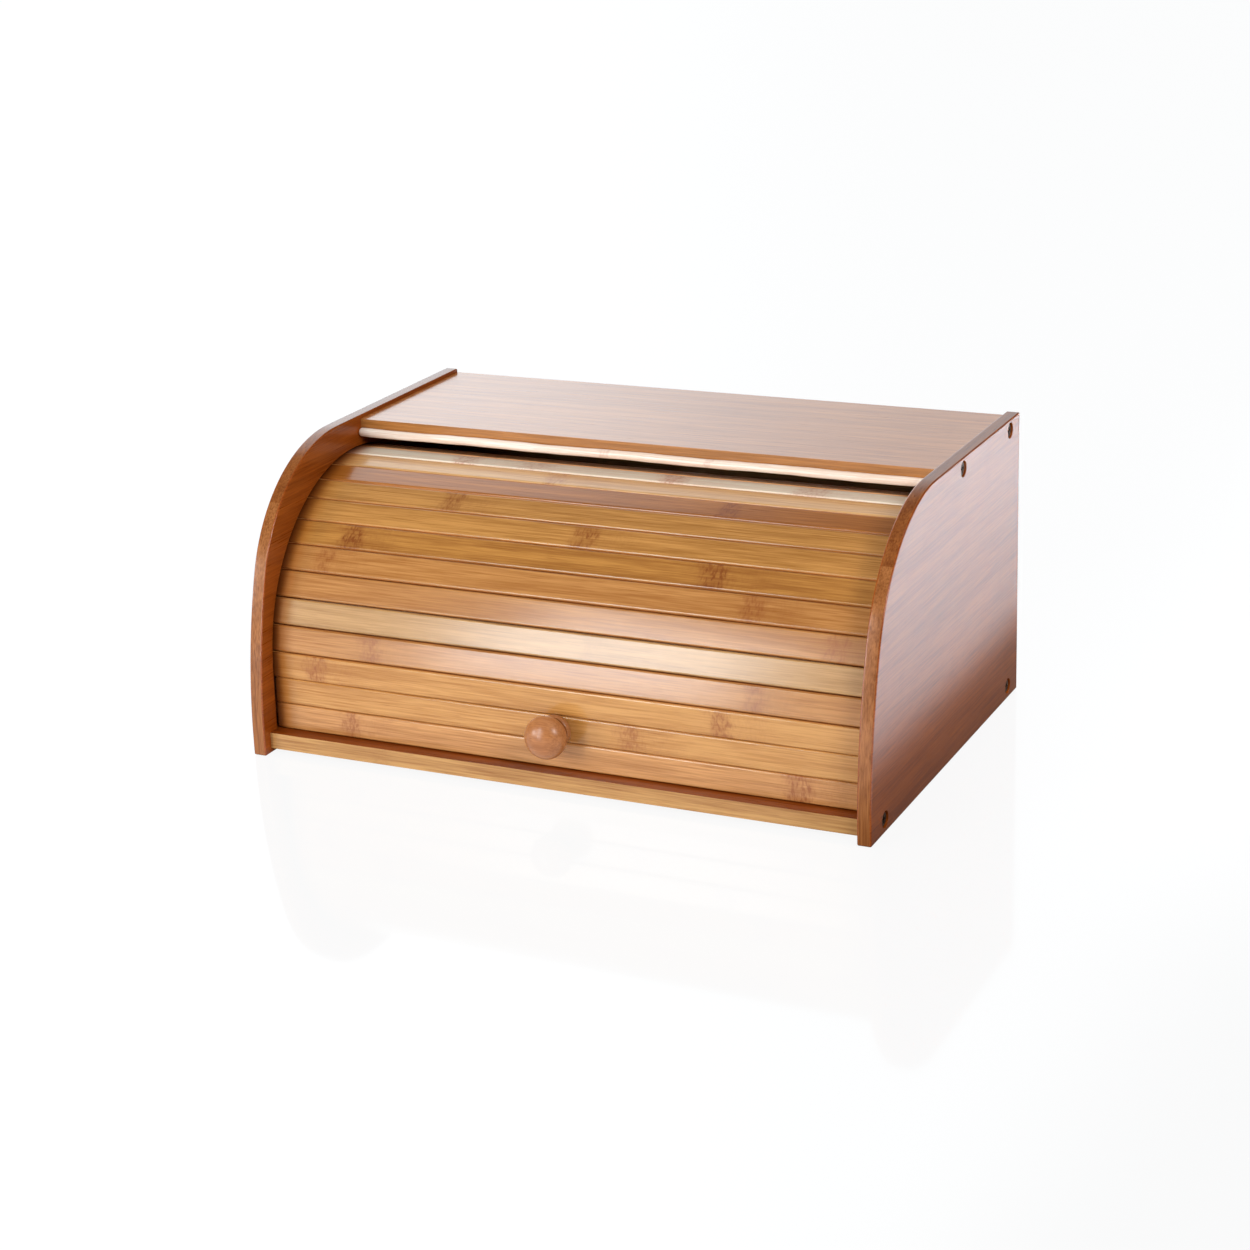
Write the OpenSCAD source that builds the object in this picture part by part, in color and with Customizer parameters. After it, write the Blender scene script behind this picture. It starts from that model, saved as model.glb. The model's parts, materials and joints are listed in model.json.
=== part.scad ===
// Roll-top bread box in bamboo: a case of two curved side panels, a top board, a bottom board and
// a back panel, closed by a slatted tambour that runs in round grooves in the side panels.
// Millimetres, +Z up, +X along the slats, front towards -Y. The origin is on the table, midway
// between the ends of the box and midway between the front of the knob and the back of the case.

/* [Case] */
// Width across the side panels
case_w = 400; // [340:5:460]
// Depth of the side panels, from front edge to rear edge
case_d = 265; // [250:5:290]
// Height of the side panels
case_h = 180; // [170:2:196]
// Thickness of a side panel
side_t = 8.5; // [8:0.5:12]
// Thickness of the top board
top_t = 8.5; // [7:0.5:12]
// Thickness of the bottom board
bottom_t = 10; // [8:0.5:14]
// Height of the bottom board's underside above the table
foot_h = 3; // [1:0.5:8]
// Depth of the top board's upper face below the panels' top edges
top_recess = 2.5; // [0:0.5:6]
// Set-back of the bottom board's front edge from the panels' front edges
bottom_setback = 6.5; // [2:0.5:9]

/* [Side panel outline] */
// Radius of the long, gentle curve at the front
front_lower_r = 344; // [300:4:400]
// Radius of the tight curve between the front and the top edge
front_upper_r = 98; // [80:2:108]
// Height of the straight stretch at the foot of the front edge
front_straight = 7; // [2:1:20]

/* [Back panel] */
// Thickness of the back panel
back_t = 5; // [3:0.5:8]
// Set-back of the back panel from the rear edges
back_inset = 4; // [2:0.5:8]
// Depth of the grooves that hold the back panel
back_groove = 3; // [2:0.5:4]
// Clearance of the back panel in its grooves, on each side
back_fit = 0.1; // [0.05:0.05:0.3]

/* [Tambour] */
// Set-back of the slats' foremost face from the panels' front edges
face_setback = 17; // [13:0.5:20]
// Room between the rear of the track and the back panel
rear_room = 19; // [10:1:24]
// Room between the tambour's highest point and the top board's underside
track_room = 8.5; // [5:0.5:10]
// Width of a slat
slat_w = 16; // [12:0.5:20]
// Thickness of a slat
slat_t = 5; // [4:0.5:6]
// Gap between two slats at their backs
slat_gap = 0.2; // [0.1:0.1:0.6]
// Bevel along a slat's front edges
slat_bevel = 0.8; // [0.3:0.1:1.4]
// Number of slats in the flat lead section, which stays out of the grooves
lead_slats = 2; // [2:1:3]
// Gap between the lowest slat and the bottom board
seat_gap = 0.3; // [0.1:0.1:0.8]
// How far the closed tambour reaches behind the top board's front edge
tail_cover = 10; // [6:1:14]
// Turn of the tambour from closed to open, in degrees
open_angle = 91; // [60:1:92]
// Thickness of the canvas behind the slats
canvas_t = 0.6; // [0.4:0.1:1]
// Distance from the canvas's side edges to the side panels
canvas_margin = 14; // [6:1:40]

/* [Grooves] */
// Depth of a groove in a side panel
groove_depth = 4.5; // [3:0.5:6]
// Clearance between the slats' faces and the groove's outer wall
groove_outer = 1; // [0.6:0.1:1.6]
// Clearance between the slats' backs and the groove's inner wall
groove_inner = 0.8; // [0.4:0.1:1.4]
// How much wider than the round groove its straight foot is, on each side
feed_wider = 0.4; // [0.2:0.1:1]
// Clearance at the end of each slat in its groove
end_gap = 0.7; // [0.3:0.1:1.2]
// Clearance between the lead section's ends and the side panels
lead_gap = 0.6; // [0.3:0.1:1.5]

/* [Lip] */
// Distance of the top board's front edge behind the tambour's highest point
lip_back = 10; // [8:1:14]
// How far the lip bead stands out in front of the top board
lip_proud = 4.5; // [3:0.5:7]
// Height of the lip bead
lip_h = 5.8; // [4:0.2:7]
// How far the lip bead hangs below the top board
lip_drop = 2.5; // [1:0.1:2.6]

/* [Knob] */
// Diameter of the knob's head
knob_d = 26; // [22:1:30]
// Thickness of the knob's head
knob_head_t = 19; // [14:1:21]
// Length of the knob from the slat to its front
knob_len = 23; // [22:1:27]
// Diameter of the knob's foot
knob_foot_d = 19.5; // [17:0.5:22]
// Thickness of the knob's foot
knob_foot_t = 3.5; // [2:0.5:4]
// Diameter of the neck between foot and head
knob_neck_d = 14; // [10:1:16]
// Depth of the pilot hole in the knob
knob_pilot = 13; // [12:1:16]
// How far the knob sits below the middle of its slat
knob_low = 1; // [0:0.5:2]

/* [Screws] */
// Diameter of a case screw's shank
screw_d = 4; // [3:0.5:5]
// Length of a case screw's shank
screw_len = 30; // [22:1:40]
// Diameter of a screw's head
screw_head_d = 8; // [6.5:0.5:9]
// Height of a screw's head
screw_head_h = 2.4; // [1.8:0.2:3]
// Diameter of the counterbore for a screw's head
bore_d = 10; // [9.5:0.5:12]
// Depth of the counterbore
bore_depth = 3.4; // [3.2:0.1:3.8]
// Clearance of a screw in the hole that it passes through, on the radius
screw_play = 0.3; // [0.1:0.1:0.6]
// Distance from the top board's front edge to its front screw
top_screw_y = 20; // [14:1:40]
// Distance from the bottom board's front edge to its front screw
bottom_screw_y = 16; // [12:1:40]
// Distance from the rear edges to the rear screws
rear_screw_y = 19; // [16:1:30]
// Diameter of the knob screw's shank
knob_screw_d = 3.5; // [3:0.5:4]
// Length of the knob screw's shank
knob_screw_len = 17; // [12:1:18]
// Diameter of the knob screw's head
knob_screw_head_d = 7; // [6:0.5:8]

/* [Hidden] */
$fn = 96;
cut = 1;              // how far a cut runs past the face that it leaves
thread_fit = 0.05;    // radial clearance of a shank in its pilot hole
cross_w = 1;          // arm width of the cross recess in a screw's head
cross_part = 0.6;     // its length as a part of the head's diameter
cross_depth = 1.2;    // its depth
foot_edge = 0.5;      // bevel at the knob's foot, towards the slat
foot_rim = 1;         // bevel at the knob's foot, towards the neck
head_steps = 20;      // steps along the rounding of the knob's head
slat_tones = [[0.86, 0.64, 0.38], [0.80, 0.56, 0.31], [0.74, 0.49, 0.25]];

// Heights of the boards and the half width between the side panels
inner_x = case_w / 2 - side_t;
bottom_z = foot_h + bottom_t;
top_z = case_h - top_recess;
under_z = top_z - top_t;

// Side panel outline: two tangent arcs, measured from the front edge (y) and the table (z)
upper_z = case_h - front_upper_r;
bend = asin((upper_z - front_straight) / (front_lower_r - front_upper_r));
upper_y = front_lower_r - (front_lower_r - front_upper_r) * cos(bend);
bend_z = upper_z + front_upper_r * sin(bend);

// The tambour turns about the axis of its round track
track_r = (case_d - back_inset - back_t - rear_room - face_setback) / 2;
track_y = face_setback + track_r;
track_z = under_z - track_room - track_r;
back_r = track_r - slat_t;
pitch = slat_w + slat_gap;
step = 2 * atan(pitch / 2 / back_r);

// The flat lead section ends just above the bottom board, in line with the first slat on the track
lead_s = pitch * (lead_slats + 0.5) - slat_gap / 2;
first = asin((bottom_z + seat_gap - track_z) / norm([back_r, lead_s])) + atan2(lead_s, back_r);
tail = 90 + asin((lip_back + tail_cover) / track_r);
track_slats = ceil((tail - first) / step + 0.5);
last = first + (track_slats - 1) * step;
slat_count = lead_slats + track_slats;

// Groove walls, and the angle at which the round grooves end
groove_out_r = track_r + groove_outer;
groove_in_r = back_r - groove_inner;
groove_to = last + step / 2 + open_angle + 1;

// The knob stands on the second slat, and the origin lies below the middle of the whole box
knob_slat = 2;
knob_s = (lead_slats + 1 - knob_slat) * pitch + knob_low;
knob_c = knob_len - knob_head_t / 2;
knob_front_y = track_y - (track_r + knob_c) * cos(first) - knob_s * sin(first)
             - norm([knob_head_t / 2 * cos(first), knob_d / 2 * sin(first)]);
front_y = -(case_d + knob_front_y) / 2;

top_y = track_y + lip_back;
back_y = case_d - back_inset - back_t;

// Screw positions on a side panel, as [y, z]
screw_spots = [
    [top_y + top_screw_y, under_z + top_t / 2],
    [case_d - rear_screw_y, under_z + top_t / 2],
    [bottom_setback + bottom_screw_y, foot_h + bottom_t / 2],
    [case_d - rear_screw_y, foot_h + bottom_t / 2],
];

function slat_name(i) = str("slat_", i < 10 ? "0" : "", i);
// A point of the side view, r from the track's axis along the spoke at angle a, s down along it
function track_point(a, r, s) =
    [track_y - r * cos(a) - s * sin(a), track_z + r * sin(a) - s * cos(a)];

// Moves a piece drawn from the panels' front edges into the frame of the whole box
module in_box() translate([0, front_y, 0]) children();

// Extrudes a side view, drawn as [y, z], along X
module bar(x0, x1) translate([x0, 0, 0]) rotate([90, 0, 90]) linear_extrude(x1 - x0) children();

// Turns a side view drawn as [r, s] to the spoke at angle a of the track
module on_spoke(a) translate([track_y, track_z]) rotate(180 - a) children();

// A round hole or shank along X at a spot of the side view
module x_rod(spot, r, x0, x1)
    translate([x0, spot[0], spot[1]]) rotate([0, 90, 0]) cylinder(r = r, h = x1 - x0);

// The part of a side view between two heights
module strip(z0, z1) intersection() {
    children();
    translate([0, z0]) square([case_d, z1 - z0]);
}

module panel_outline() {
    square([case_d, front_straight]);
    strip(front_straight, bend_z)
        translate([front_lower_r, front_straight]) circle(front_lower_r, $fn = 720);
    strip(bend_z, case_h) {
        translate([upper_y, upper_z]) circle(front_upper_r, $fn = 360);
        translate([upper_y, 0]) square([case_d, case_h]);
    }
}

// Spokes that bound the round part of a groove, as a fan about the track's axis
module groove_fan() {
    rim = [for (k = [0:8]) first + k * (groove_to - first) / 8];
    polygon(concat([[0, 0]], 2 * track_r * [for (a = rim) [-cos(a), sin(a)]]));
}

module groove_outline() {
    translate([track_y, track_z]) intersection() {
        difference() {
            circle(groove_out_r, $fn = 360);
            circle(groove_in_r, $fn = 360);
        }
        groove_fan();
    }
    strip(bottom_z, case_h) on_spoke(first)
        translate([groove_in_r - feed_wider, -cut])
            square([groove_out_r - groove_in_r + 2 * feed_wider, lead_s + pitch]);
}

// Groove outline of the back panel in a side panel, a margin m wider than the panel all round
module back_outline(m) {
    translate([back_y - m, bottom_z - back_groove + back_fit - m])
        square([back_t + 2 * m, under_z - bottom_z + 2 * (back_groove - back_fit + m)]);
}

module side_panel_right() color([0.55, 0.27, 0.11]) in_box() difference() {
    bar(inner_x, case_w / 2) panel_outline();
    bar(inner_x - cut, inner_x + groove_depth) groove_outline();
    bar(inner_x - cut, inner_x + back_groove) back_outline(back_fit);
    for (spot = screw_spots) {
        x_rod(spot, screw_d / 2 + screw_play, inner_x - cut, case_w / 2 + cut);
        x_rod(spot, bore_d / 2, case_w / 2 - bore_depth, case_w / 2 + cut);
    }
}

module side_panel_left() mirror([1, 0, 0]) side_panel_right();

// Pilot holes for the screws at both ends of a board
module pilots(spots) {
    for (spot = spots, side = [-1, 1])
        translate([side * (case_w / 2 - bore_depth - screw_len - cut), spot[0], spot[1]])
            rotate([0, side * 90, 0]) cylinder(r = screw_d / 2 + thread_fit, h = screw_len + side_t);
}

module top_board() color([0.78, 0.55, 0.36]) in_box() difference() {
    translate([-inner_x, top_y, under_z]) cube([2 * inner_x, case_d - top_y, top_t]);
    bar(-case_w, case_w) back_outline(back_fit);
    pilots([screw_spots[0], screw_spots[1]]);
}

module lip_rail() color([0.92, 0.76, 0.58]) in_box() bar(-inner_x, inner_x)
    translate([top_y - lip_proud, under_z - lip_drop]) intersection() {
        union() {
            translate([lip_h / 2, lip_h / 2]) circle(d = lip_h);
            translate([lip_h / 2, 0]) square([case_d, lip_h]);
        }
        square([lip_proud, lip_h]);
    }

module bottom_board() color([0.80, 0.56, 0.33]) in_box() difference() {
    translate([-inner_x, bottom_setback, foot_h])
        cube([2 * inner_x, case_d - bottom_setback, bottom_t]);
    bar(-case_w, case_w) back_outline(back_fit);
    pilots([screw_spots[2], screw_spots[3]]);
}

module back_panel() color([0.72, 0.50, 0.30]) in_box()
    bar(-inner_x - back_groove + back_fit, inner_x + back_groove - back_fit) back_outline(0);

// A pan head screw along +Z, with its seat at the origin and a cross recess in its head
module screw(d, len, head_d, head_h) {
    difference() {
        translate([0, 0, -head_h]) cylinder(d = head_d, h = head_h);
        for (a = [0, 90])
            rotate(a) translate([-head_d * cross_part / 2, -cross_w / 2, -head_h - cut])
                cube([head_d * cross_part, cross_w, cut + cross_depth]);
    }
    cylinder(d = d, h = len);
}

module case_screws_right() color([0.62, 0.62, 0.64]) in_box()
    for (spot = screw_spots)
        translate([case_w / 2 - bore_depth, spot[0], spot[1]]) rotate([0, -90, 0])
            screw(screw_d, screw_len, screw_head_d, screw_head_h);

module case_screws_left() mirror([1, 0, 0]) case_screws_right();

// The spoke on which slat i stands, and how far below the spoke's foot it lies, counted from below
function slat_angle(i) = i <= lead_slats ? first : first + (i - lead_slats - 1) * step;
function slat_shift(i) = i <= lead_slats ? (lead_slats + 1 - i) * pitch : 0;

module slat_outline() polygon([
    [back_r, -slat_w / 2], [track_r - slat_bevel, -slat_w / 2], [track_r, slat_bevel - slat_w / 2],
    [track_r, slat_w / 2 - slat_bevel], [track_r - slat_bevel, slat_w / 2], [back_r, slat_w / 2],
]);

// Places a piece that stands along +Z on the face of the knob's slat
module on_knob_slat() {
    spot = track_point(first, track_r, knob_s);
    translate([0, spot[0], spot[1]]) rotate([90 - first, 0, 0]) children();
}

module knob_screw_hole() on_knob_slat() translate([0, 0, -slat_t - canvas_t - cut])
    cylinder(r = knob_screw_d / 2 + screw_play, h = slat_t + canvas_t + 2 * cut);

module slat(i) {
    half = i <= lead_slats ? inner_x - lead_gap : inner_x + groove_depth - end_gap;
    color(slat_tones[i % 3]) in_box() difference() {
        bar(-half, half) on_spoke(slat_angle(i)) translate([0, slat_shift(i)]) slat_outline();
        if (i == knob_slat) knob_screw_hole();
    }
}

// Corners of the canvas at radius r, from the lead section's foot up and round to the tail
function canvas_edge(r) = concat(
    [track_point(first, r, lead_s)],
    [for (k = [1:track_slats - 1]) track_point(first + (k - 0.5) * step, r / cos(step / 2), 0)],
    [track_point(last, r, -slat_w / 2)]
);

module canvas_backing() color([0.86, 0.82, 0.72]) in_box() difference() {
    outer = canvas_edge(back_r);
    inner = canvas_edge(back_r - canvas_t);
    bar(canvas_margin - inner_x, inner_x - canvas_margin)
        polygon(concat(outer, [for (k = [len(inner) - 1:-1:0]) inner[k]]));
    knob_screw_hole();
}

module knob() color([0.72, 0.42, 0.26]) in_box() on_knob_slat() difference() {
    neck_from = acos(knob_neck_d / knob_d);
    foot_r = knob_foot_d / 2;
    rotate_extrude() polygon(concat(
        [[0, 0], [foot_r - foot_edge, 0], [foot_r, foot_edge], [foot_r, knob_foot_t - foot_rim],
         [foot_r - foot_rim, knob_foot_t], [knob_neck_d / 2, knob_foot_t]],
        [for (k = [0:head_steps]) let (a = -neck_from + k * (90 + neck_from) / head_steps)
            [k == head_steps ? 0 : knob_d / 2 * cos(a), knob_c + knob_head_t / 2 * sin(a)]]
    ));
    translate([0, 0, -cut]) cylinder(r = knob_screw_d / 2 + thread_fit, h = knob_pilot + cut);
}

module knob_screw() color([0.70, 0.70, 0.72]) in_box() on_knob_slat()
    translate([0, 0, -slat_t - canvas_t])
        screw(knob_screw_d, knob_screw_len, knob_screw_head_d, screw_head_h);

side_panel_left();
side_panel_right();
top_board();
lip_rail();
bottom_board();
back_panel();
case_screws_left();
case_screws_right();
for (i = [1:slat_count])
    slat(i);
canvas_backing();
knob();
knob_screw();
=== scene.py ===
# A roll-top bread box in bamboo: two curved side panels, a top board with a bead for its lip, a
# bottom board and a back panel, closed by a slatted tambour with a turned knob. Metres, +Z up,
# +X along the slats, the front towards -Y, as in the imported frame.
import json
from math import asin, atan, atan2, cos, hypot, pi, radians, sin

import bmesh
import bpy
from mathutils import Matrix, Vector


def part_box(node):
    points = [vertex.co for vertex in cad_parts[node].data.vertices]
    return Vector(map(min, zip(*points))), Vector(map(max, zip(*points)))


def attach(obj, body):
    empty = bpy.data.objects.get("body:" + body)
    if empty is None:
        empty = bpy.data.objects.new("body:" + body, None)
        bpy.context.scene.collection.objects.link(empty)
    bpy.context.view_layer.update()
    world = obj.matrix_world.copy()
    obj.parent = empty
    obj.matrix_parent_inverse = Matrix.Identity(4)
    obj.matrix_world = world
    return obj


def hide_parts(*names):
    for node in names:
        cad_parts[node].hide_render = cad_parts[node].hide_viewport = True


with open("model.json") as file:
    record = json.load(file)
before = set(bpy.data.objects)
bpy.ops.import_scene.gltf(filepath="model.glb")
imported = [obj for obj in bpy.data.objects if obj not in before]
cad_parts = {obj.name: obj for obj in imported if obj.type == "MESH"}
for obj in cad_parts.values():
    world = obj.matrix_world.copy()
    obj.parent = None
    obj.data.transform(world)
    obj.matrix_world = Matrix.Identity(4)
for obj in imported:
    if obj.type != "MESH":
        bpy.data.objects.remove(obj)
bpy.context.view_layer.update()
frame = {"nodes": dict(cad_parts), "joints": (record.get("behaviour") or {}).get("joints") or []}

# Camera: a long lens, a little above and to the right of the box, held with a slight roll. The
# picture is square. Its place comes from the corners and screw holes seen in the photograph.
camera_right = Vector((0.90385, 0.42622, -0.03727))
camera_up = Vector((-0.10804, 0.31166, 0.94403))
camera_back = Vector((0.41398, -0.84924, 0.32774))
aim = Vector((-0.01619, 0.01715, 0.05653))
distance = 1.64948
camera_data = bpy.data.cameras.new("camera")
camera_data.lens = 76.36
camera_data.sensor_width = 36
camera = bpy.data.objects.new("camera", camera_data)
camera.matrix_world = (
    Matrix.Translation(aim + distance * camera_back)
    @ Matrix((camera_right, camera_up, camera_back)).transposed().to_4x4()
)
bpy.context.collection.objects.link(camera)
bpy.context.scene.camera = camera
bpy.context.scene.view_settings.view_transform = "Standard"


# Side panels: red-brown stained bamboo strips, glued edge to edge and lying front to back, cut to
# the curved outline, with grooves for slats and back panel, counterbores for screws and sanded
# edges. Their outer faces have the full lacquer, and their narrow edges a lighter, thinner stain;
# the edges facing up or down are painted darker than those facing front, as painted shade.
class Wire:
    """A socket among a material's nodes. A sum on wires adds the nodes that work it out."""

    def __init__(self, tree, socket=None):
        self.tree = tree
        self.socket = socket

    def add(self, kind, settings={}, inputs={}, output=0):
        """A new node with its settings, then the values or wires of its sockets."""
        node = self.tree.nodes.new("ShaderNode" + kind)
        for name, value in settings.items():
            setattr(node, name, value)
        for key, value in inputs.items():
            if isinstance(value, Wire):
                self.tree.links.new(value.socket, node.inputs[key])
            else:
                node.inputs[key].default_value = value
        return Wire(self.tree, node.outputs[output])

    def sum(self, operation, a, b=0.0):
        """One Math node on two values or wires."""
        return self.add("Math", {"operation": operation}, {0: a, 1: b})

    def __add__(self, other):
        return self.sum("ADD", self, other)

    __radd__ = __add__

    def __sub__(self, other):
        return self.sum("SUBTRACT", self, other)

    def __rsub__(self, other):
        return self.sum("SUBTRACT", other, self)

    def __mul__(self, other):
        return self.sum("MULTIPLY", self, other)

    __rmul__ = __mul__

    def __abs__(self):
        return self.sum("ABSOLUTE", self)

    def ease(self, low, high):
        """0 at low, 1 at high, and a soft step between."""
        return self.add(
            "MapRange",
            {"interpolation_type": "SMOOTHSTEP"},
            {"Value": self, "From Min": low, "From Max": high},
        )

    def tint(self, a, b):
        """Colour a where this is 0, and colour b where it is 1."""
        return self.add("Mix", {"data_type": "RGBA"}, {0: self, 6: a, 7: b}, 2)

    def axis(self, index):
        """This vector's own x, y or z: 0, 1 or 2."""
        return self.add("SeparateXYZ", {}, {0: self}, index)

    def noise(self, per_metre, detail=2.0, roughness=0.5):
        """Noise on this vector, with its own number of lumps to the metre on each axis."""
        stretched = self.add(
            "VectorMath", {"operation": "MULTIPLY"}, {0: self, 1: per_metre}
        )
        return self.add(
            "TexNoise",
            {},
            {"Vector": stretched, "Scale": 1.0, "Detail": detail, "Roughness": roughness},
        )


def bamboo(
    name,
    dark,
    light,
    grain,
    strips=None,
    knuckles=(),
    knuckle_gap=0.31,
    sheen=0.5,
    blur=0.16,
    relief=0.5,
    shade_middle=0.0,
):
    """Lacquered bamboo with its fibres along axis grain. strips is the axis across glued strips and
    their width. knuckles are growth rings, given as (place, half width, strength). sheen and
    blur are the lacquer's weight and roughness, and relief is the depth of the fibres under it.
    The last argument, if given, is the middle between the two ends, from which a painted shade
    darkens the wood near each end and dulls its lacquer."""
    wood = bpy.data.materials.new(name)
    wood.use_nodes = True
    shader = wood.node_tree.nodes["Principled BSDF"]
    start = Wire(wood.node_tree)
    here = start.add("TexCoord", {}, {}, "Object")
    along = here.axis(grain)

    def streaks(length, width, detail=2.0):
        """Noise drawn out along the grain, in streaks of about this length and width."""
        lumps = [1 / width] * 3
        lumps[grain] = 1 / length
        return here.noise(lumps, detail, 0.55)

    fibre = streaks(0.035, 0.0009, 3.0)
    bundle = streaks(0.20, 0.006)
    cloud = here.noise((9, 9, 9), 1.0)
    fibre_contrast, bundle_contrast, cloud_contrast = 2.7, 1.6, 0.6
    tone = 0.5 + (fibre - 0.5) * fibre_contrast + (bundle - 0.5) * bundle_contrast
    tone = tone + (cloud - 0.5) * cloud_contrast
    seam = ring = 0.0
    knuckle_wander = 0.014
    wobble = (here.noise((160, 160, 160), 2.0) - 0.5) * knuckle_wander
    if strips:
        across_grain, strip_width = strips
        strip_contrast, strip_shift = 0.16, 7.3
        seam_from, seam_depth, seam_wander = 0.485, 0.14, 0.02
        knuckle_half, knuckle_fade, knuckle_depth = 0.002, 0.009, 0.2
        lane = here.axis(across_grain) * (1 / strip_width) + (cloud - 0.5) * seam_wander
        number = start.sum("FLOOR", lane)
        chance = start.add("TexWhiteNoise", {"noise_dimensions": "1D"}, {"W": number})
        tone = tone + (chance - 0.5) * strip_contrast
        across = abs(start.sum("FRACT", lane) - 0.5)
        seam = across.ease(seam_from, 0.5) * seam_depth
        place = (along + wobble) * (1 / knuckle_gap) + chance * strip_shift
        reach = abs(start.sum("FRACT", place) - 0.5)
        ring = 1 - reach.ease(knuckle_half / knuckle_gap, knuckle_fade / knuckle_gap)
        ring = ring * knuckle_depth
    core_share, halo_share, halo_width = 0.3, 0.3, 3
    for place, half_width, strength in knuckles:
        reach = along + wobble - place
        core = 1 - abs(reach).ease(half_width * core_share, half_width)
        halo = 1 - abs(reach - half_width).ease(half_width, half_width * halo_width)
        ring = ring + core * strength + halo * strength * halo_share
    colour = start.sum("MINIMUM", start.sum("MAXIMUM", tone, 0.0), 1.0).tint(dark, light)
    speck_along, speck_across = 0.0014, 0.0035
    flecks = [1 / speck_across] * 3
    flecks[grain] = 1 / speck_along
    specks = here.noise(flecks, 2.0).ease(0.45, 0.65)
    patch = here.noise((200, 200, 200), 1.0).ease(0.30, 0.60)
    deep = tuple(level * share for level, share in zip(dark, (0.72, 0.52, 0.5))) + (1,)
    colour = (ring * (0.25 + 0.45 * specks + 0.3 * patch)).tint(colour, deep)
    pore_depth = 0.3
    pores = streaks(0.012, 0.0006, 1.0).ease(0.60, 0.76) * pore_depth
    colour = (pores + seam).tint(colour, deep)
    # Painted shade at the ends, where a panel shades them: red-brown, then near black at the very
    # end, with the lacquer dulled so that it mirrors less.
    if shade_middle:
        shade_red, shade_black = (0.32, 0.090, 0.009, 1), (0.07, 0.009, 0.001, 1)
        shade_red_share, shade_black_share, shade_dulling = 0.8, 0.9, 0.8
        reach = abs(along - shade_middle)
        shaded_end = reach.ease(0.181, 0.196)
        colour = (shaded_end * shade_red_share).tint(colour, shade_red)
        colour = (reach.ease(0.188, 0.199) * shade_black_share).tint(colour, shade_black)
        shine = sheen * (1 - shaded_end * shade_dulling)
        wood.node_tree.links.new(shine.socket, shader.inputs["Coat Weight"])
    mean_rough, rough_swing = 0.30, 0.3
    rough = mean_rough + (fibre - 0.5) * rough_swing * relief
    swell = here.noise((25, 60, 60), 1.0)
    height = fibre * 0.25 + swell * 1.2 - specks * ring * 0.1
    bump = start.add("Bump", {}, {"Strength": relief, "Distance": 0.00025, "Height": height})
    for key, value in {"Base Color": colour, "Roughness": rough, "Normal": bump}.items():
        wood.node_tree.links.new(value.socket, shader.inputs[key])
    shader.inputs["Specular IOR Level"].default_value = 0.15
    shader.inputs["Coat Weight"].default_value = sheen
    shader.inputs["Coat Roughness"].default_value = blur
    shader.inputs["Coat IOR"].default_value = 1.5
    return wood


def piece(shape, name, body, finishes, node):
    """A mesh piece from a bmesh, in place of its CAD node."""
    mesh = bpy.data.meshes.new(name)
    shape.to_mesh(mesh)
    shape.free()
    for finish in finishes:
        mesh.materials.append(finish)
    mesh.shade_smooth()
    mesh.set_sharp_from_angle(angle=radians(38))
    made = bpy.data.objects.new(name, mesh)
    bpy.context.collection.objects.link(made)
    made.modifiers.new("even_normals", "WEIGHTED_NORMAL").keep_sharp = True
    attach(made, body)
    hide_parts(node)
    return made


def round_off(shape, edges, size, segments, clamp=False):
    """The edges rounded by size."""
    bmesh.ops.bevel(
        shape,
        geom=edges,
        offset=size,
        segments=segments,
        profile=0.5,
        affect="EDGES",
        clamp_overlap=clamp,
        material=-1,
    )


def turn(shape, angle, axis="X", corners=None):
    """The shape, or some of its corners, turned about an axis through the origin."""
    bmesh.ops.rotate(
        shape,
        verts=corners or shape.verts,
        cent=(0, 0, 0),
        matrix=Matrix.Rotation(angle, 3, axis),
    )


def sanded(node, outer, inner):
    """The CAD board's own form, its through edges rounded by outer and its cuts by inner."""
    shape = bmesh.new()
    shape.from_mesh(frame["nodes"][node].data)
    bmesh.ops.remove_doubles(shape, verts=shape.verts, dist=0.00002)
    bmesh.ops.dissolve_limit(
        shape, angle_limit=radians(0.2), verts=shape.verts, edges=shape.edges
    )
    low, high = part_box(node)
    thin = min(range(3), key=lambda axis: high[axis] - low[axis])

    def is_through(face):
        reach = [corner.co[thin] for corner in face.verts]
        return max(reach) - min(reach) > 0.98 * (high[thin] - low[thin])

    for size, through in ((outer, True), (inner, False)):
        edges = [
            edge
            for edge in shape.edges
            if len(edge.link_faces) == 2
            and edge.calc_face_angle() > radians(55)
            and any(is_through(face) for face in edge.link_faces) == through
        ]
        round_off(shape, edges, size, segments=3, clamp=True)
    return shape


red_brown = {
    "dark": (0.22, 0.042, 0.003, 1),
    "light": (0.36, 0.080, 0.008, 1),
    "grain": 1,
    "strips": (2, 0.0215),
    "knuckle_gap": 0.27,
}
stained = bamboo("stained_bamboo", **red_brown, sheen=1.0, blur=0.11, relief=0.15)
stained_inside = bamboo("stained_inside", **red_brown, sheen=0.35)
rim_upright = bamboo(
    "rim_upright",
    dark=(0.21, 0.062, 0.012, 1),
    light=(0.39, 0.140, 0.038, 1),
    grain=2,
    sheen=0.65,
)
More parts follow.
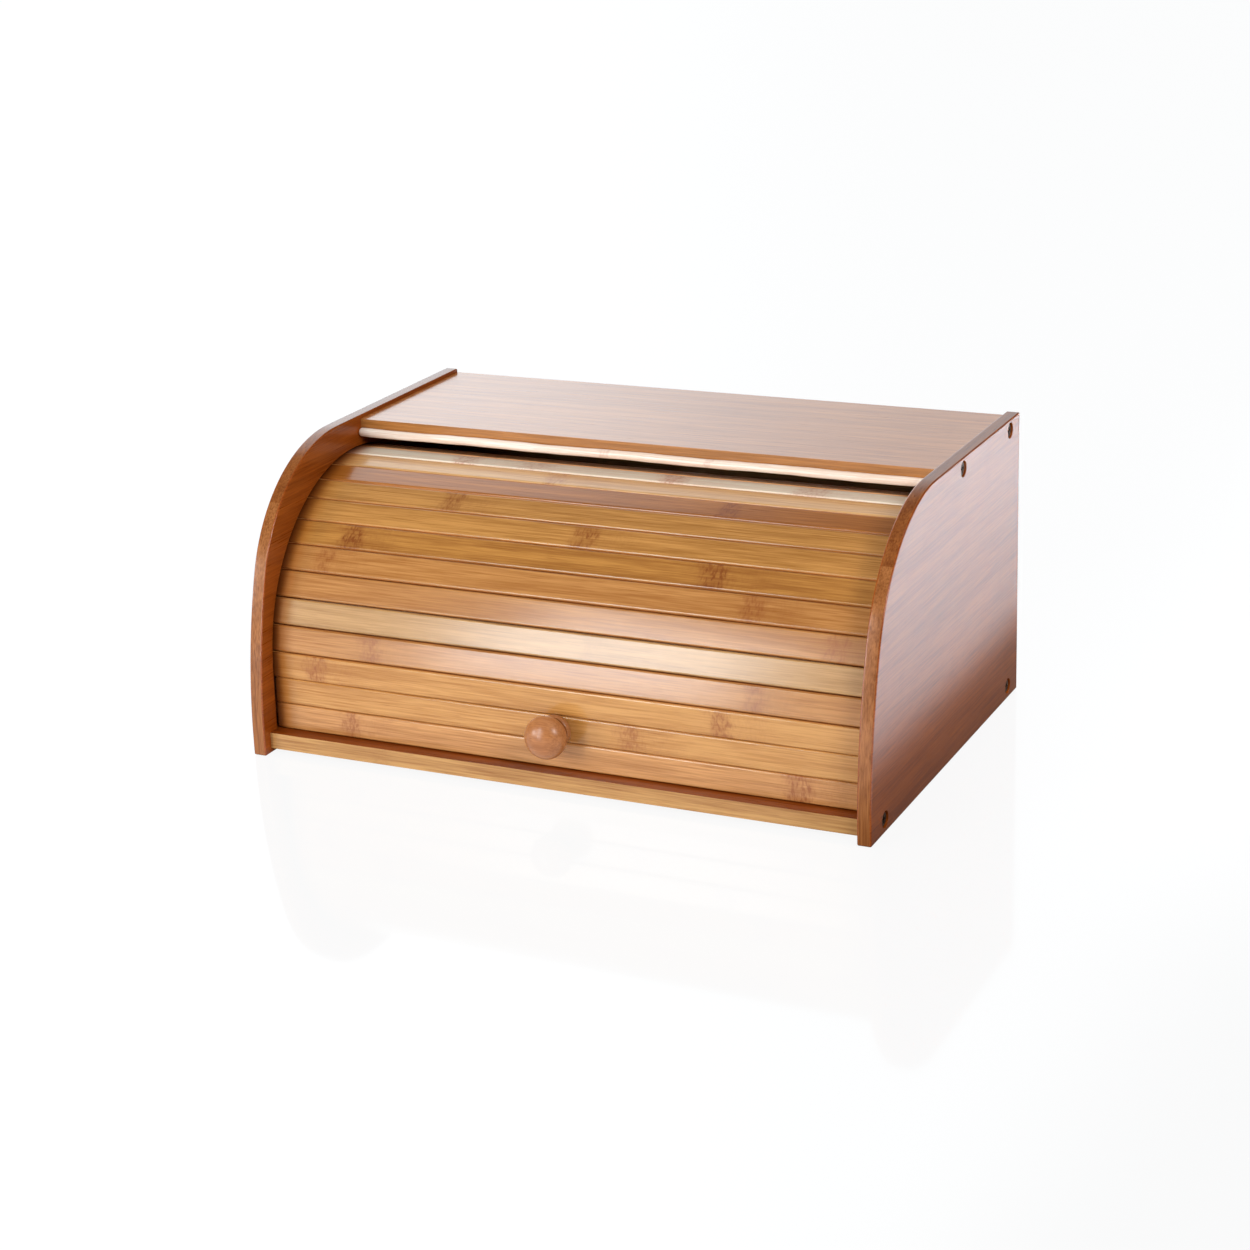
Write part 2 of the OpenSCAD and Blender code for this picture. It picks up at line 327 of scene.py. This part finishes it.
# Edges facing up or down: the same edge stain painted darker, as shade.
rim_level_shaded = bamboo(
    "rim_level_shaded",
    dark=(0.17, 0.042, 0.006, 1),
    light=(0.30, 0.092, 0.018, 1),
    grain=1,
    sheen=0.65,
)
for side, inward in (("left", 1), ("right", -1)):
    panel = "side_panel_" + side
    board = sanded(panel, outer=0.0009, inner=0.0003)
    finishes = (stained, rim_upright, rim_level_shaded, stained_inside)
    for face in board.faces:
        reach = [abs(corner.co.x) for corner in face.verts]
        if max(reach) - min(reach) > 0.005 and abs(face.normal.x) < 0.1:
            edge_finish = rim_upright if abs(face.normal.y) > abs(face.normal.z) else rim_level_shaded
            face.material_index = finishes.index(edge_finish)
        elif face.normal.x * inward > 0.9:
            face.material_index = finishes.index(stained_inside)
    piece(board, "panel_" + side, "case", finishes, panel)

# Top board: a flat board of wide bamboo strips laid across the box, let in a little below the
# panels' top edges and held by two screws at each end. Its front edge is planed square. Its top
# face is painted lighter than its front edge, as painted light on the top.
lit_top_wood = bamboo(
    "top_bamboo",
    dark=(0.41, 0.135, 0.032, 1),
    light=(0.62, 0.24, 0.070, 1),
    grain=0,
    strips=(1, 0.021),
    knuckle_gap=0.36,
    sheen=1.0,
)
shaded_edge_wood = bamboo(
    "edge_bamboo", dark=(0.33, 0.125, 0.026, 1), light=(0.50, 0.20, 0.050, 1), grain=0
)
board = sanded("top_board", outer=0.0006, inner=0.0002)
# Top face: the lighter copy of the wood, painted light; front face: the darker copy.
for face in board.faces:
    face.material_index = int(face.normal.y < -0.9)
piece(board, "board_top", "case", (lit_top_wood, shaded_edge_wood), "top_board")

# Bead: a thin half-round rod of pale bamboo, glued along the top board's front edge as the lip
# over the tambour. It was rounded by hand, so it wanders a little along its length.
bead_wood = bamboo(
    "bead_bamboo",
    dark=(0.80, 0.58, 0.44, 1),
    light=(0.96, 0.82, 0.70, 1),
    grain=0,
    knuckles=((-0.02, 0.006, 0.4), (0.05, 0.004, 0.4)),
)
low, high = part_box("lip_rail")
bead_r = (high.z - low.z) / 2
bead = bmesh.new()
bmesh.ops.create_cone(
    bead, cap_ends=True, segments=28, radius1=bead_r, radius2=bead_r, depth=high.x - low.x
)
turn(bead, pi / 2, "Y")
ends = [edge for edge in bead.edges if edge.calc_face_angle() > 1]
round_off(bead, ends, size=0.0016, segments=4)
bmesh.ops.subdivide_edges(
    bead,
    edges=[edge for edge in bead.edges if edge.calc_length() > 0.3],
    cuts=90,
    use_grid_fill=True,
)
for corner in bead.verts:
    x = corner.co.x
    slim = 0.94 + 0.03 * sin(95 * x) * sin(37 * x + 1) + 0.025 * sin(230 * x)
    corner.co.y *= slim
    corner.co.z = corner.co.z * slim + 0.0002 * sin(61 * x + 2)
bmesh.ops.translate(
    bead, verts=bead.verts, vec=(0, low.y + bead_r, (low.z + high.z) / 2)
)
bmesh.ops.bisect_plane(
    bead,
    geom=bead.verts[:] + bead.edges[:] + bead.faces[:],
    plane_co=(0, high.y, 0),
    plane_no=(0, 1, 0),
    clear_outer=True,
)
bmesh.ops.holes_fill(bead, edges=bead.edges)
piece(bead, "bead", "case", (bead_wood,), "lip_rail")

# Bottom board: the same stock as the top board, a little thicker, held clear of the table. Its
# upper face, the floor of the inside, is a dark red-brown without lacquer, darker than the
# panels: painted shade on the ledge in front of the slats.
floor_wood = bamboo(
    "bottom_bamboo",
    dark=(0.35, 0.155, 0.048, 1),
    light=(0.55, 0.29, 0.100, 1),
    grain=0,
    strips=(1, 0.021),
    knuckle_gap=0.40,
)
shaded_inside_wood = bamboo(
    "inside_bamboo",
    dark=(0.16, 0.028, 0.002, 1),
    light=(0.28, 0.060, 0.006, 1),
    grain=0,
    strips=(1, 0.021),
    sheen=0.0,
)
board = sanded("bottom_board", outer=0.0006, inner=0.0002)
# The upper face gets the dark red-brown: painted shade.
for face in board.faces:
    face.material_index = int(face.normal.z > 0.9)
piece(board, "board_bottom", "case", (floor_wood, shaded_inside_wood), "bottom_board")

# Back panel: a thin bamboo board with its strips lying across the box and little lacquer. It
# slides into grooves in the side panels and the two boards.
back_wood = bamboo(
    "back_bamboo",
    dark=(0.34, 0.15, 0.055, 1),
    light=(0.50, 0.25, 0.100, 1),
    grain=0,
    strips=(2, 0.02),
    sheen=0.2,
)
board = sanded("back_panel", outer=0.0004, inner=0.0004)
piece(board, "panel_back", "case", (back_wood,), "back_panel")

# Case screws: dark steel with pan heads and a cross, four to a side panel, sunk in its
# counterbores. The knob's screw is of the same steel.
steel = bpy.data.materials.new("dark_steel")
steel.use_nodes = True
plate = steel.node_tree.nodes["Principled BSDF"]
plate.inputs["Metallic"].default_value = 1.0
surface = Wire(steel.node_tree)
grit = surface.add("TexCoord", {}, {}, "Object").noise((900, 900, 900), 3.0)
steel.node_tree.links.new((0.42 + grit * 0.3).socket, plate.inputs["Roughness"])
steel.node_tree.links.new(
    grit.tint((0.07, 0.045, 0.032, 1), (0.16, 0.11, 0.080, 1)).socket, plate.inputs["Base Color"]
)
for node in ("case_screws_left", "case_screws_right", "knob_screw"):
    screws = frame["nodes"][node]
    screws.data.materials.clear()
    screws.data.materials.append(steel)

# Slats: fourteen slats with bevelled front edges, each its own piece of cane with its own tone and
# knuckles. The lowest two pass between the panels, and the others run with their ends in the
# grooves. Their ends carry a painted red-brown shade, strong beside the left panel, faint at the
# right.
track_axis = Vector(frame["joints"][0]["pos_m"])
slat_w, slat_t, slat_gap, track_r = 0.016, 0.005, 0.0002, 0.110
seat_gap = 0.0003
lead_slats = 2
pitch = slat_w + slat_gap
back_r = track_r - slat_t
step = 2 * atan(pitch / 2 / back_r)
lead_foot = (lead_slats + 0.5) * pitch - slat_gap / 2
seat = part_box("bottom_board")[1].z + seat_gap
first = asin((seat - track_axis.z) / hypot(back_r, lead_foot)) + atan2(lead_foot, back_r)
peach = ((0.42, 0.17, 0.045, 1), (0.64, 0.30, 0.100, 1))
honey = ((0.42, 0.168, 0.034, 1), (0.62, 0.30, 0.088, 1))
gold = ((0.35, 0.140, 0.026, 1), (0.56, 0.255, 0.063, 1))
amber = ((0.30, 0.108, 0.018, 1), (0.50, 0.218, 0.045, 1))
umber = ((0.27, 0.080, 0.009, 1), (0.42, 0.142, 0.023, 1))
russet = ((0.34, 0.125, 0.026, 1), (0.51, 0.225, 0.064, 1))
cream = ((0.35, 0.170, 0.052, 1), (0.50, 0.270, 0.098, 1))
blush = ((0.50, 0.24, 0.080, 1), (0.70, 0.38, 0.140, 1))
# Painted light: a tone far brighter than any cane, so that slat 14 reads brown in the shade under
# the bead.
slot_light_tone = ((0.75, 0.36, 0.150, 1), (0.95, 0.52, 0.240, 1))
# Partly a paler cane, partly painted light and sheen, for slat 13 under the bead.
pale = ((0.92, 0.67, 0.47, 1), (1.0, 0.88, 0.70, 1))
cane = {
    1: (peach, ((-0.139, 0.009, 0.6), (0.152, 0.012, 0.7))),
    2: (honey, ((0.047, 0.011, 0.6),)),
    3: (honey, ((-0.162, 0.010, 0.7), (0.104, 0.010, 0.7))),
    4: (russet, ((-0.123, 0.009, 0.5), (0.126, 0.009, 0.5))),
    5: (cream, ((0.020, 0.008, 0.2),)),
    6: (russet, ((0.170, 0.009, 0.5),)),
    7: (russet, ((-0.163, 0.010, 0.5), (0.116, 0.010, 0.6))),
    8: (amber, ((-0.150, 0.010, 0.9), (0.087, 0.012, 0.8))),
    9: (gold, ((0.001, 0.011, 0.7),)),
    10: (gold, ((-0.094, 0.010, 0.7),)),
    11: (umber, ((0.080, 0.010, 0.6),)),
    12: (blush, ((-0.040, 0.010, 0.5),)),
    13: (
        pale,
        ((0.030, 0.012, 0.8), (-0.110, 0.012, 0.7), (-0.062, 0.016, 0.5), (0.118, 0.014, 0.6)),
    ),
    14: (slot_light_tone, ((-0.100, 0.010, 0.5),)),
}
joint_wood = bamboo(
    "joint_bamboo",
    dark=(0.46, 0.17, 0.040, 1),
    light=(0.66, 0.27, 0.075, 1),
    grain=0,
    sheen=0.0,
)
for number, (tones, knuckles) in cane.items():
    node = "slat_%02d" % number
    low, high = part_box(node)
    slat = bmesh.new()
    bmesh.ops.create_cube(slat, size=1)
    bmesh.ops.scale(slat, verts=slat.verts, vec=(high.x - low.x, slat_t, slat_w))
    front = [
        edge for edge in slat.edges if edge.calc_length() > 0.1 and edge.verts[0].co.y < 0
    ]
    round_off(slat, front, size=0.0012, segments=4)
    for face in slat.faces:
        face.material_index = int(abs(face.normal.z) > 0.9)
    past_lead = number - lead_slats - 1
    rise = min(past_lead, 0) * pitch
    bmesh.ops.translate(slat, verts=slat.verts, vec=(0, slat_t / 2 - track_r, rise))
    turn(slat, -(first + max(past_lead, 0) * step))
    bmesh.ops.translate(slat, verts=slat.verts, vec=track_axis)
    wood = bamboo(
        "cane_%02d" % number,
        *tones,
        grain=0,
        knuckles=knuckles,
        sheen=1.0,
        shade_middle=0.006,
    )
    piece(slat, "cane_" + node, "tambour", (wood, joint_wood), node)

# Canvas: plain woven cotton glued to the backs of all the slats, the hinge of the real tambour;
# here it rides with the slats as one body. It is one flat cut, as wide as the space between the
# panels less a margin on each side.
low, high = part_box("canvas_backing")
cloth_t = 0.0006
glue_gap = 0.00005
cloth_in = back_r - cloth_t / 2 - glue_gap
arc_pitches = len(cane) - lead_slats - 1
cloth = bmesh.new()
weave = cloth.loops.layers.uv.new("weave")
foot = [cloth.verts.new((x, -cloth_in, -lead_foot)) for x in (low.x, high.x)]
path = [("up", lead_foot / 4)] * 4 + [("round", step)] * arc_pitches + [("up", slat_w / 2)]
edge_row = [cloth.edges.new(foot)]
turned = 0.0
for how, size in path:
    grown = bmesh.ops.extrude_edge_only(cloth, edges=edge_row)["geom"]
    edge_row = [part for part in grown if isinstance(part, bmesh.types.BMEdge)]
    corners = [part for part in grown if isinstance(part, bmesh.types.BMVert)]
    edge_row = [edge for edge in edge_row if all(end in corners for end in edge.verts)]
    if how == "round":
        turn(cloth, -size, corners=corners)
        turned += size
    else:
        bmesh.ops.translate(
            cloth, verts=corners, vec=Matrix.Rotation(-turned, 3, "X") @ Vector((0, 0, size))
        )
turn(cloth, -first)
bmesh.ops.subdivide_edges(
    cloth, edges=[edge for edge in cloth.edges if edge.calc_length() > 0.1], cuts=24
)
for face in cloth.faces:
    for loop in face.loops:
        corner = loop.vert.co
        angle = atan2(corner.z, -corner.y) - first
        loop[weave].uv = (corner.x, angle * back_r)
bmesh.ops.translate(cloth, verts=cloth.verts, vec=track_axis)
bmesh.ops.recalc_face_normals(cloth, faces=cloth.faces)
cotton = bpy.data.materials.new("cotton_canvas")
cotton.use_nodes = True
threads = Wire(cotton.node_tree)
thread_pitch = 0.0016
laid = threads.add("UVMap", {"uv_map": "weave"})
warp = threads.sum("SINE", laid.axis(0) * (2 * pi / thread_pitch))
weft = threads.sum("SINE", laid.axis(1) * (2 * pi / thread_pitch))
over = warp * weft
slub = laid.noise((40, 1300, 1), 1.0) + laid.noise((1300, 40, 1), 1.0)
weave_look = cotton.node_tree.nodes["Principled BSDF"]
cotton.node_tree.links.new(
    (0.5 + over * 0.3 + (slub - 1.0) * 0.5)
    .tint((0.50, 0.42, 0.28, 1), (0.74, 0.66, 0.50, 1))
    .socket,
    weave_look.inputs["Base Color"],
)
cotton.node_tree.links.new(
    threads.add("Bump", {}, {"Strength": 0.6, "Distance": 0.0002, "Height": over}).socket,
    weave_look.inputs["Normal"],
)
weave_look.inputs["Roughness"].default_value = 0.95
weave_look.inputs["Specular IOR Level"].default_value = 0.1
canvas = piece(cloth, "canvas_sheet", "tambour", (cotton,), "canvas_backing")
canvas.modifiers.clear()
solid = canvas.modifiers.new("thickness", "SOLIDIFY")
solid.thickness = cloth_t - 2 * glue_gap
solid.offset = 0

# Knob: turned from one piece of a close-grained wood, with a flat foot against the slat, a tight
# groove and a round head. One screw from behind holds it, through the canvas and the slat.
knob_wood = bamboo(
    "knob_wood",
    dark=(0.34, 0.118, 0.035, 1),
    light=(0.47, 0.182, 0.060, 1),
    grain=0,
    sheen=0.6,
    blur=0.30,
)
knob = bmesh.new()
head_r, head_half, head_c = 0.013, 0.0095, 0.0135
foot_r, foot_t, neck_r = 0.00975, 0.0035, 0.007
chamfer, round_r, fillet = 0.0004, 0.0008, 0.0006
turning = [(0, 0), (foot_r - chamfer, 0), (foot_r, chamfer), (foot_r + 0.0001, foot_t / 2)]
turning += [(foot_r, foot_t - round_r), (foot_r - 0.0007, foot_t), (neck_r + fillet, foot_t)]
neck_from = -radians(57)
head_steps = 24
for k in range(head_steps + 1):
    angle = neck_from + k * (pi / 2 - neck_from) / head_steps
    turning.append((head_r * cos(angle), head_c + head_half * sin(angle)))
outline = [knob.verts.new((r, 0, h)) for r, h in turning]
for one, other in zip(outline, outline[1:]):
    knob.edges.new((one, other))
bmesh.ops.spin(
    knob,
    geom=knob.verts[:] + knob.edges[:],
    cent=(0, 0, 0),
    axis=(0, 0, 1),
    angle=2 * pi,
    steps=72,
    use_merge=True,
)
bmesh.ops.remove_doubles(knob, verts=knob.verts, dist=0.00001)
bmesh.ops.recalc_face_normals(knob, faces=knob.faces)
turn(knob, pi / 2 - first)
knob_low = 0.001
knob_rise = -(pitch + knob_low)
bmesh.ops.translate(
    knob,
    verts=knob.verts,
    vec=track_axis + Matrix.Rotation(-first, 3, "X") @ Vector((0, -track_r, knob_rise)),
)
piece(knob, "turned_knob", "tambour", (knob_wood,), "knob")


# Floor: a white table. The camera sees it as plain white, with the box's shadow and a faint
# mirror image of its foot. Every other ray sees it as lit white paint, darker in a strip beside
# the right panel: a painted shadow, which darkens the foot of that panel's own mirror image.
def seen_directly(nodes):
    """1 for the rays by which the camera sees, also through glass, and 0 for all others."""
    camera_ray = nodes.add("LightPath", {}, {}, "Is Camera Ray")
    glass_ray = nodes.add("LightPath", {}, {}, "Is Transmission Ray")
    return nodes.sum("MAXIMUM", camera_ray, glass_ray)


table_half, table_level = 6, -0.0003
ground = bmesh.new()
bmesh.ops.create_grid(ground, x_segments=1, y_segments=1, size=table_half)
bmesh.ops.translate(ground, verts=ground.verts, vec=(0, 0, table_level))
table_mesh = bpy.data.meshes.new("table_top")
ground.to_mesh(table_mesh)
ground.free()
table_top = bpy.data.objects.new("table_top", table_mesh)
bpy.context.collection.objects.link(table_top)
paint = bpy.data.materials.new("white_table")
paint.use_nodes = True
paint.node_tree.nodes.remove(paint.node_tree.nodes["Principled BSDF"])
base = Wire(paint.node_tree)
white = (1, 1, 1, 1)
east = base.add("TexCoord", {}, {}, "Object").axis(0)
# Painted shadow: the floor's colour darkened in a strip beside the right panel.
painted_foot_shadow = east.ease(0.12, 0.20) * (1 - east.ease(0.225, 0.262))
table_tone = painted_foot_shadow.tint((0.90, 0.91, 0.94, 1), (0.22, 0.18, 0.16, 1))
lit = base.add("BsdfDiffuse", {}, {"Color": table_tone})
shaded = base.add("BsdfDiffuse", {}, {"Color": white})
glow = base.add("Emission", {}, {"Color": white, "Strength": 1.0})
mirror = base.add("BsdfGlossy", {}, {"Color": white, "Roughness": 0.06})
glow_share, mirror_share = 0.96, 0.05
bright = base.add("MixShader", {}, {0: glow_share, 1: shaded, 2: glow})
seen = base.add("MixShader", {}, {0: mirror_share, 1: bright, 2: mirror})
shown = base.add("MixShader", {}, {0: seen_directly(base), 1: lit, 2: seen})
paint.node_tree.links.new(
    shown.socket, paint.node_tree.nodes["Material Output"].inputs["Surface"]
)
table_mesh.materials.append(paint)


# Light: a soft sky overhead, a key from the left, a fill from the right, a tall cool lamp in front
# that draws the sheen on the slats, and one shining down on the floor that the right panel mirrors.
# The lacquer mirrors a dim room with a bright wall behind the box. The camera sees it as white.
def soft_lamp(name, place, towards, width, height, power, colour=(1, 1, 1), spread=180):
    """A rectangular lamp aimed at a point, its power in watts and its spread in degrees."""
    lamp_data = bpy.data.lights.new(name, "AREA")
    lamp_data.shape = "RECTANGLE"
    lamp_data.size, lamp_data.size_y = width, height
    lamp_data.energy = power
    lamp_data.color = colour
    lamp_data.spread = radians(spread)
    lamp = bpy.data.objects.new(name, lamp_data)
    lamp.location = place
    lamp.rotation_euler = (Vector(towards) - Vector(place)).to_track_quat("-Z", "Y").to_euler()
    lamp.visible_camera = False
    bpy.context.collection.objects.link(lamp)


cool = (0.88, 0.95, 1.0)
soft_lamp("key", (-2.3, -2.2, 0.7), (0, 0, 0.09), width=0.8, height=0.8, power=29)
soft_lamp("fill", (1.7, -1.2, 1.4), (0, 0, 0.09), width=0.8, height=0.8, power=25)
soft_lamp(
    "sheen",
    (-0.54, -1.30, 0.46),
    towards=(0.03, -0.1, 0.25),
    width=0.32,
    height=0.92,
    power=10,
    colour=cool,
)
soft_lamp(
    "floor_wash",
    (0.54, 0.42, 1.2),
    towards=(0.54, 0.42, 0),
    width=0.36,
    height=0.9,
    power=2.9,
    colour=cool,
    spread=25,
)
room = bpy.data.worlds.new("room")
room.use_nodes = True
bpy.context.scene.world = room
air = Wire(room.node_tree)
way = air.add("TexCoord", {}, {}, "Generated")
wall_slope, slope_from = 1.6, -0.36
wall_glow, east_loss = 1.68, 0.82
room_glow, sky_glow, ground_glow = 0.06, 0.9, 0.07
height = way.axis(2) + (way.axis(0) - slope_from) * wall_slope
wall = way.axis(1).ease(0.3, 0.5) * (1 - height.ease(0.60, 0.78))
wall = wall * (wall_glow - way.axis(0).ease(-0.50, -0.30) * east_loss)
dome = way.axis(2).ease(0.35, 0.95)
to_camera = seen_directly(air)
to_gloss = air.add("LightPath", {}, {}, "Is Glossy Ray")
unseen = to_gloss * (wall + room_glow) + (1 - to_gloss) * (dome * sky_glow + ground_glow)
level = to_camera + (1 - to_camera) * unseen
back_light = room.node_tree.nodes["Background"]
room.node_tree.links.new(level.socket, back_light.inputs["Strength"])
room.node_tree.links.new(to_camera.tint(cool + (1,), white).socket, back_light.inputs["Color"])
